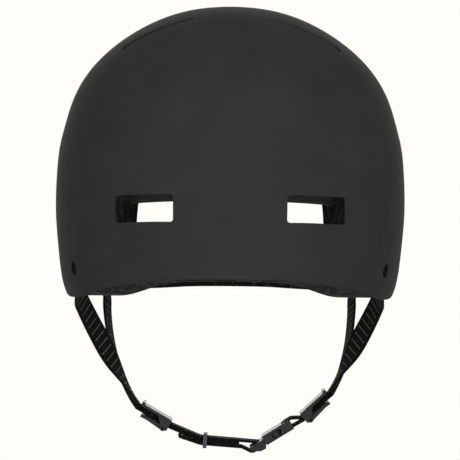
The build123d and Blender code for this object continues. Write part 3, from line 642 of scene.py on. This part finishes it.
def divider_place(side, s, layer):
    """A place in a divider on one of its two plies, in x and z."""
    origin, down, inner = divider_frame(side)
    place = origin + down * s + inner * (layer * PLY_PITCH / 2)
    return place.x, place.z


quarter_turn = arc_route([(0, 0), (0.02, 0), (0.02, 0.02)], [0.005])
print("a quarter turn of radius 5 mm has", len(quarter_turn), "points")

# %% [markdown]
# The stack has two plies and the tail below them. The buckle is measured along its own slanted axis: s runs
# from the male half's face into the female half, and p is up through its thickness.

# %% Places on the buckle and in the stack
TAPE_CLEAR = 0.3 * MM  # between the tape and what it runs over
BUCKLE = (0.0228, -0.0894)
BUCKLE_SLOPE = radians(32)
STACK_SLOPE = radians(4)
STACK_Z = -0.088
KEEPER_X = -0.0146
TAIL_PITCH = 4.1 * MM
FEMALE_LENGTH, FEMALE_SLOT, FEMALE_BAR = 14.4 * MM, 2.3 * MM, 3.3 * MM
BAR_RISE, BAR_THICKNESS = 0.6 * MM, 2.8 * MM
MALE_BACK, SLOT_S, MALE_BAR_THICKNESS = -10.4 * MM, -3.95 * MM, 1.4 * MM
OVER_BAR = TAPE_THICKNESS / 2 + TAPE_CLEAR


def buckle_place(s, p):
    """A place along and across the buckle's slanted axis, in x and z."""
    return (BUCKLE[0] + s * cos(BUCKLE_SLOPE) - p * sin(BUCKLE_SLOPE),
            BUCKLE[1] + s * sin(BUCKLE_SLOPE) + p * cos(BUCKLE_SLOPE))


def stack_place(x, pitch):
    """A place this far below the stack's top ply, in x and z."""
    return x, STACK_Z - sin(STACK_SLOPE) / cos(STACK_SLOPE) * (x - KEEPER_X) - pitch


print("the buckle slopes", round(BUCKLE_SLOPE / radians(1)), "degrees, its middle at", BUCKLE)

# %% Chin route
STACK_LEAD = 2.8 * MM  # the stack starts this far beside the keeper's middle
SECOND_END_X = 7.0 * MM  # where the second ply stops
TAIL_TURN_X = 8.5 * MM  # where the tail comes down from the buckle
TAIL_LENGTH = 13.5 * MM  # of the folded tail beyond the stack's start
TAIL_LIFT = 3.5 * MM  # how far its end turns up
FOLD_LEAN, FOLD_RISE, FOLD_REACH = 0.3 * MM, 2.9 * MM, 7.0 * MM  # its tip, folded back over itself
MALE_OVERHANG = 0.1 * MM
stack_start = KEEPER_X - STACK_LEAD
leave = DIVIDER_HALF + RUN_BELOW
under = -MALE_BAR_THICKNESS - OVER_BAR
fold = Vector(stack_place(stack_start - TAIL_LENGTH, TAIL_PITCH - TAIL_LIFT))
chin_corners = [
    divider_place("right", JOIN_S + JOIN_GAP, 1),
    divider_place("right", leave, 1),
    stack_place(stack_start, 0),
    buckle_place(SLOT_S, OVER_BAR),
    buckle_place(SLOT_S, under),
    buckle_place(MALE_BACK + MALE_OVERHANG, under),
    stack_place(TAIL_TURN_X, TAIL_PITCH),
    stack_place(stack_start, TAIL_PITCH),
    tuple(fold),
    (fold.x + FOLD_LEAN, fold.y + FOLD_RISE),
    (fold.x + FOLD_REACH, fold.y + FOLD_LEAN),
]
# Radius of the tape's middle at each corner, in mm
chin_bends = [3.0, 9.0, 1.29, 1.29, 3.0, 3.0, 9.0, 1.16, 1.16]
chin_route = arc_route(chin_corners, [r * MM for r in chin_bends])
second_corners = [
    divider_place("right", JOIN_S + JOIN_GAP, -1),
    divider_place("right", leave, -1),
    stack_place(stack_start, PLY_PITCH),
    stack_place(SECOND_END_X, PLY_PITCH),
]
second_route = arc_route(second_corners, [3.0 * MM, 9.0 * MM])
print("chin tape:", len(chin_route), "stations")

# %% Chin webbing
chin_length = along_tape(hang(chin_route), "helmet", "chin_webbing", "chin_strap")[1]
second_length = along_tape(hang(second_route), "helmet", "chin_webbing_second_ply")[1]
print("chin webbing", round(chin_length * 1000), "mm and", round(second_length * 1000), "mm")

# %% [markdown]
# The loop on the left goes round the bar of the buckle's female half and both its ends run up into the
# left divider. It moves with the female half, so it rides on the left half of the harness.

# %% Buckle loop
LOOP_RUN = 1.6 * MM  # how far the loop runs on beside the bar
bar_s = FEMALE_LENGTH + FEMALE_SLOT / 2
over = BAR_RISE + BAR_THICKNESS / 2 + OVER_BAR
below = BAR_RISE - BAR_THICKNESS / 2 - OVER_BAR
loop_end = FEMALE_LENGTH + FEMALE_SLOT + FEMALE_BAR + LOOP_RUN
loop_corners = [
    divider_place("left", JOIN_S + JOIN_GAP, 1),
    divider_place("left", leave, 1),
    buckle_place(loop_end, over),
    buckle_place(bar_s, over),
    buckle_place(bar_s, below),
    buckle_place(loop_end, below),
    divider_place("left", leave, -1),
    divider_place("left", JOIN_S + JOIN_GAP, -1),
]
loop_bends = [3.0, 2.0, 1.81, 1.81, 2.0, 3.0]
loop_route = arc_route(loop_corners, [r * MM for r in loop_bends])
loop_length = along_tape(hang(loop_route), "left_harness", "buckle_loop_webbing", "buckle_loop")[1]
print("loop", round(loop_length * 1000), "mm")

# %% [markdown]
# ## Stitches
# The chin run is sewn in two places: through both plies near the second one's end, which shows above and
# below, and through the folded tip of the tail. A bar tack is a dense zigzag of thick thread. On each face
# where one shows, it is a single thread that crosses the tape in small steps: a zigzag line, made round by
# the curve's own bevel, because that needs no faces drawn by hand.

# %% Sewing thread
thread_finish, tree, shader = finish("sewing_thread", (0.020, 0.020, 0.021), 0.6, 0.4)
shader.inputs["Sheen Weight"].default_value = 0.2
twist = add_node(tree, "ShaderNodeTexWave", Scale=1 / (3.0 * MM), Distortion=1.5)
tree.links.new(place_in(tree), twist.inputs["Vector"])
tree.links.new(shades(tree, twist.outputs["Fac"], (0.012, 0.012, 0.013), (0.032, 0.032, 0.034)),
               shader.inputs["Base Color"])
relief(tree, shader, twist.outputs["Fac"], 0.05, 0.6)
print("thread:", thread_finish.name)

# %% A zigzag of thread
THREAD_RADIUS, THREAD_PROUD = 0.17 * MM, 0.05 * MM


def bar_tack(name, middle, direction, out, half_width=5.6 * MM, stitch=1.1 * MM, reach=1.5 * MM):
    """A zigzag of thread across the tape, on one of its faces."""
    curve = bpy.data.curves.new(name, "CURVE")
    curve.dimensions = "3D"
    curve.bevel_depth = THREAD_RADIUS
    curve.bevel_resolution = 2
    count = int(2 * half_width / (stitch / 2))
    line = curve.splines.new("POLY")
    line.points.add(count)
    for i in range(count + 1):
        place = Vector(middle) + Vector((0, -half_width + i * stitch / 2, 0))
        place += Vector(direction) * (reach if i % 2 else -reach) + Vector(out) * THREAD_PROUD
        line.points[i].co = (*place, 1)
    made = bpy.data.objects.new(name, curve)
    bpy.context.scene.collection.objects.link(made)
    bpy.context.view_layer.objects.active = made
    made.select_set(True)
    bpy.ops.object.convert(target="MESH")
    made = bpy.context.view_layer.objects.active
    made.select_set(False)
    made.data.materials.clear()
    made.data.materials.append(thread_finish)
    made.data.shade_smooth()
    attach(made, "helmet")


print("thread", round(2 * THREAD_RADIUS / MM, 2), "mm thick")

# %% Bar tacks
TACK_X = 4.4 * MM
TAIL_TACK = 5.0 * MM  # from the tail's end
TACK_LIFT = 0.43 * TAPE_THICKNESS  # from the tape's middle, so that the thread bites into its face
stack_run = Vector((cos(STACK_SLOPE), 0, -sin(STACK_SLOPE)))
stack_up = Vector((sin(STACK_SLOPE), 0, cos(STACK_SLOPE)))
for name, pitch, side in (("bar_tack_top", 0, 1), ("bar_tack_under", PLY_PITCH, -1)):
    x_place, z_place = stack_place(TACK_X, pitch)
    face = Vector((x_place, HARNESS_Y, z_place)) + stack_up * side * TACK_LIFT
    bar_tack(name, face, stack_run, stack_up * side)
tip_run = (Vector(stack_place(stack_start, TAIL_PITCH)) - fold).normalized()
tip_run = Vector((tip_run.x, 0, tip_run.y))
tip_out = Vector((tip_run.z, 0, -tip_run.x))
tip_face = Vector((fold.x, HARNESS_Y, fold.y)) + tip_run * TAIL_TACK + tip_out * TACK_LIFT
bar_tack("bar_tack_tail", tip_face, tip_run, tip_out)
print("three bar tacks")

# %% [markdown]
# ## Comfort pads
# Each pad is a slab of soft foam in brushed cloth, held by hook tape. Soft foam in a sewn cover swells in
# the middle and draws in at its edges. The quickest honest way to that shape is to blow it up: the solid is
# remeshed into even cloth, a little pressure fills it, and how far it may move is capped so that the pad
# keeps its place between the liner and the head.

# %% Pad cloth
pad_cloth, tree, shader = finish("brushed_pad_cloth", (0.022, 0.023, 0.026), 0.9, 0.25)
shader.inputs["Sheen Weight"].default_value = 0.35
shader.inputs["Sheen Roughness"].default_value = 0.6
knit = add_node(tree, "ShaderNodeTexVoronoi", Scale=1 / (1.3 * MM))
tree.links.new(place_in(tree), knit.inputs["Vector"])
fine_nap = sums(tree, "MULTIPLY", grain(tree, 0.7, 5), 0.6)
nap = sums(tree, "ADD", fine_nap, sums(tree, "MULTIPLY", grain(tree, 9), 0.4))
tree.links.new(shades(tree, nap, (0.012, 0.012, 0.014), (0.040, 0.041, 0.046), 0.35, 0.7),
               shader.inputs["Base Color"])
relief(tree, shader, sums(tree, "ADD", knit.outputs["Distance"], nap), 0.3, 0.7)
print("pads:", pad_cloth.name)

# %% Fill a pad
CAVITY_MIDDLE = Vector((0, 0, 0.05))
CLOTH_GRID = 2.4 * MM
FILL_PRESSURE, FILL_FRAMES = 4.0, 16
STRETCH_STIFFNESS, BEND_STIFFNESS = 12, 0.6


def swell(pad, cap=2.2 * MM, outward=0.5 * MM):
    """Fills a pad with a little pressure, and caps how far each point moves."""
    before = [v.co.copy() for v in pad.data.vertices]
    cloth = pad.modifiers.new("fill", "CLOTH")
    cloth.settings.use_pressure = True
    cloth.settings.uniform_pressure_force = FILL_PRESSURE
    cloth.settings.effector_weights.gravity = 0.0
    cloth.settings.tension_stiffness = STRETCH_STIFFNESS
    cloth.settings.compression_stiffness = STRETCH_STIFFNESS
    cloth.settings.bending_stiffness = BEND_STIFFNESS
    cloth.point_cache.frame_end = FILL_FRAMES
    for step in range(1, FILL_FRAMES + 1):
        bpy.context.scene.frame_set(step)
    shaped = pad.evaluated_get(bpy.context.evaluated_depsgraph_get()).to_mesh()
    after = [v.co.copy() for v in shaped.vertices]
    pad.evaluated_get(bpy.context.evaluated_depsgraph_get()).to_mesh_clear()
    pad.modifiers.remove(cloth)
    bpy.context.scene.frame_set(1)
    for vertex, old, new in zip(pad.data.vertices, before, after):
        move = new - old
        if move.length > cap:
            move *= cap / move.length
        away = (old - CAVITY_MIDDLE).normalized()
        rise = move.dot(away)
        if rise > outward:
            move -= away * (rise - outward)
        vertex.co = old + move


print("a pad is filled in", FILL_FRAMES, "frames at pressure", FILL_PRESSURE)

# %% Pads in the place of their solids
def make_pad(node, name, body="helmet"):
    """A soft pad in the place of its solid."""
    mesh = nodes[node].data.copy()
    mesh.name = name
    mesh.materials.clear()
    pad = bpy.data.objects.new(name, mesh)
    bpy.context.scene.collection.objects.link(pad)
    cloth_grid = pad.modifiers.new("cloth_grid", "REMESH")
    cloth_grid.mode = "VOXEL"
    cloth_grid.voxel_size = CLOTH_GRID
    relax = pad.modifiers.new("relax", "SMOOTH")
    relax.factor = 0.5
    relax.iterations = 5
    bpy.context.view_layer.objects.active = pad
    pad.select_set(True)
    bpy.ops.object.modifier_apply(modifier="cloth_grid")
    bpy.ops.object.modifier_apply(modifier="relax")
    swell(pad)
    settle = pad.modifiers.new("settle", "SMOOTH")
    settle.factor = 0.5
    settle.iterations = 2
    bpy.ops.object.modifier_apply(modifier="settle")
    finer = pad.modifiers.new("finer", "SUBSURF")
    finer.levels = finer.render_levels = 1
    bpy.ops.object.modifier_apply(modifier="finer")
    pad.select_set(False)
    pad.data.materials.append(pad_cloth)
    pad.data.shade_smooth()
    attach(pad, body)
    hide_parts(node)
    return pad


PADS = {"front_pad": "front_cushion", "rear_pad": "rear_cushion", "side_pad_right": "side_cushion_right",
        "side_pad_left": "side_cushion_left", "crown_pad": "crown_cushion"}
cushions = {node: make_pad(node, name) for node, name in PADS.items()}

# %% [markdown]
# ## Stage, light and camera
# The photograph is a catalogue shot: the helmet floats on white, lit so softly that there are hardly any
# shadows. Two large soft lamps in front do most of that, with a weak one above and one behind. The world
# looks like white paper to the camera and to reflections through its own colour, never by more light on the
# helmet: Light Path tells the shader what kind of ray is looking, and light rays find a dim room instead.

# %% World
PAPER = (0.99, 0.985, 0.945, 1)  # white, a little warm
ROOM = (0.92, 0.93, 0.95, 1)
ROOM_STRENGTH = 0.3


def shown_rays(tree):
    """One for what the camera sees, straight on, reflected or through clear things, and nought for light."""
    path = tree.nodes.new("ShaderNodeLightPath")
    shown = sums(tree, "MAXIMUM", path.outputs["Is Camera Ray"], path.outputs["Is Glossy Ray"])
    return sums(tree, "MAXIMUM", shown, path.outputs["Is Transmission Ray"])


def mixed(tree, factor, first, second):
    """Goes from the first shader to the second as the factor goes from nought to one."""
    mixer = tree.nodes.new("ShaderNodeMixShader")
    for place, socket in enumerate((factor, first, second)):
        tree.links.new(socket, mixer.inputs[place])
    return mixer.outputs[0]


scene = bpy.context.scene
scene.view_settings.view_transform = "Standard"
world = bpy.data.worlds.new("soft_world")
scene.world = world
world.use_nodes = True
tree = world.node_tree
tree.nodes.clear()
room = add_node(tree, "ShaderNodeBackground", Color=ROOM, Strength=ROOM_STRENGTH)
paper = add_node(tree, "ShaderNodeBackground", Color=PAPER, Strength=1.0)
output = tree.nodes.new("ShaderNodeOutputWorld")
tree.links.new(mixed(tree, shown_rays(tree), room.outputs[0], paper.outputs[0]), output.inputs["Surface"])
print("paper for the camera, and a room of strength", ROOM_STRENGTH, "for the light")

# %% [markdown]
# The floor keeps the helmet's shadow close by, and would end in a visible edge further out. So its finish
# fades from lit floor near the helmet to the colour of the paper away from it, by the distance from its
# middle, and the edge can't be told from the world behind it.

# %% Floor
FLOOR_SIZE, FLOOR_GLOW = 3.2, 0.55
FADE_FROM, FADE_TO = 0.35, 0.95
floor_finish, tree, shader = finish("pale_floor", (0.80, 0.80, 0.78), 0.9, 0.1)
glow = add_node(tree, "ShaderNodeEmission", Color=PAPER, Strength=FLOOR_GLOW)
near_floor = tree.nodes.new("ShaderNodeAddShader")
tree.links.new(shader.outputs[0], near_floor.inputs[0])
tree.links.new(glow.outputs[0], near_floor.inputs[1])
far_floor = add_node(tree, "ShaderNodeEmission", Color=PAPER, Strength=1.0)
away = add_node(tree, "ShaderNodeVectorMath", operation="LENGTH")
tree.links.new(place_in(tree), away.inputs[0])
fade = add_node(tree, "ShaderNodeMapRange", interpolation_type="SMOOTHSTEP")
fade.inputs["From Min"].default_value = FADE_FROM
fade.inputs["From Max"].default_value = FADE_TO
tree.links.new(away.outputs["Value"], fade.inputs["Value"])
shown_floor = mixed(tree, fade.outputs[0], near_floor.outputs[0], far_floor.outputs[0])
whole_floor = mixed(tree, shown_rays(tree), shader.outputs[0], shown_floor)
tree.links.new(whole_floor, tree.nodes["Material Output"].inputs["Surface"])
FLOOR_Z = -0.30
bpy.ops.mesh.primitive_plane_add(size=FLOOR_SIZE, location=(0, 0, FLOOR_Z))
studio_floor = bpy.context.object
studio_floor.name = "studio_floor"
studio_floor.data.materials.append(floor_finish)
print("floor at", FLOOR_Z)

# %% [markdown]
# A soft lamp is a large disc of light. What reaches the helmet falls with the square of the distance, so the
# lamps stand about equally far away, and their watts can be compared. The two in front stand well to the
# sides: the middle of the shell, which both of them reach, is lightest, as it is in the photograph.

# %% Lamps
def soft_lamp(name, place, aim, size, power):
    """A disc of light of this size in metres, turned towards the helmet."""
    data = bpy.data.lights.new(name, "AREA")
    data.shape = "DISK"
    data.size = size
    data.energy = power
    lamp = bpy.data.objects.new(name, data)
    scene.collection.objects.link(lamp)
    lamp.location = place
    lamp.rotation_euler = (Vector(aim) - Vector(place)).to_track_quat("-Z", "Y").to_euler()


AIM = (0, 0, 0.06)
soft_lamp("key_lamp", (-0.7, -1.6, 0.55), AIM, 1.3, 16)
soft_lamp("fill_lamp", (0.9, -1.5, 0.25), AIM, 1.3, 14)
soft_lamp("top_lamp", (0.0, -0.3, 1.5), AIM, 1.2, 0.6)
soft_lamp("back_lamp", (0.0, 1.7, 0.45), AIM, 1.5, 8)

# %% [markdown]
# The camera is level and far away, with a long lens, so the two halves of the helmet line up as they do in
# the photograph. The lens follows from the width that should fill the frame at that distance.

# %% Camera
CAMERA_DISTANCE = 1.5
CAMERA_HEIGHT = 0.043  # above the lowest place of the shell's rim
PIXELS_WIDE, MM_A_PIXEL = 460, 0.6377
WIDTH_SEEN = PIXELS_WIDE * MM_A_PIXEL * MM
ROLL = 0.5  # degrees, as the photograph is turned
SENSOR = 36  # mm
camera_data = bpy.data.cameras.new("camera")
camera_data.sensor_width = SENSOR
camera_data.lens = SENSOR * CAMERA_DISTANCE / WIDTH_SEEN
camera_data.clip_start = 0.05
camera = bpy.data.objects.new("camera", camera_data)
scene.collection.objects.link(camera)
camera.location = (0, -CAMERA_DISTANCE, CAMERA_HEIGHT)
facing = Matrix.Rotation(radians(90), 4, "X") @ Matrix.Rotation(radians(ROLL), 4, "Z")
camera.rotation_euler = facing.to_euler()
scene.camera = camera
print("lens", round(camera_data.lens, 1), "mm")
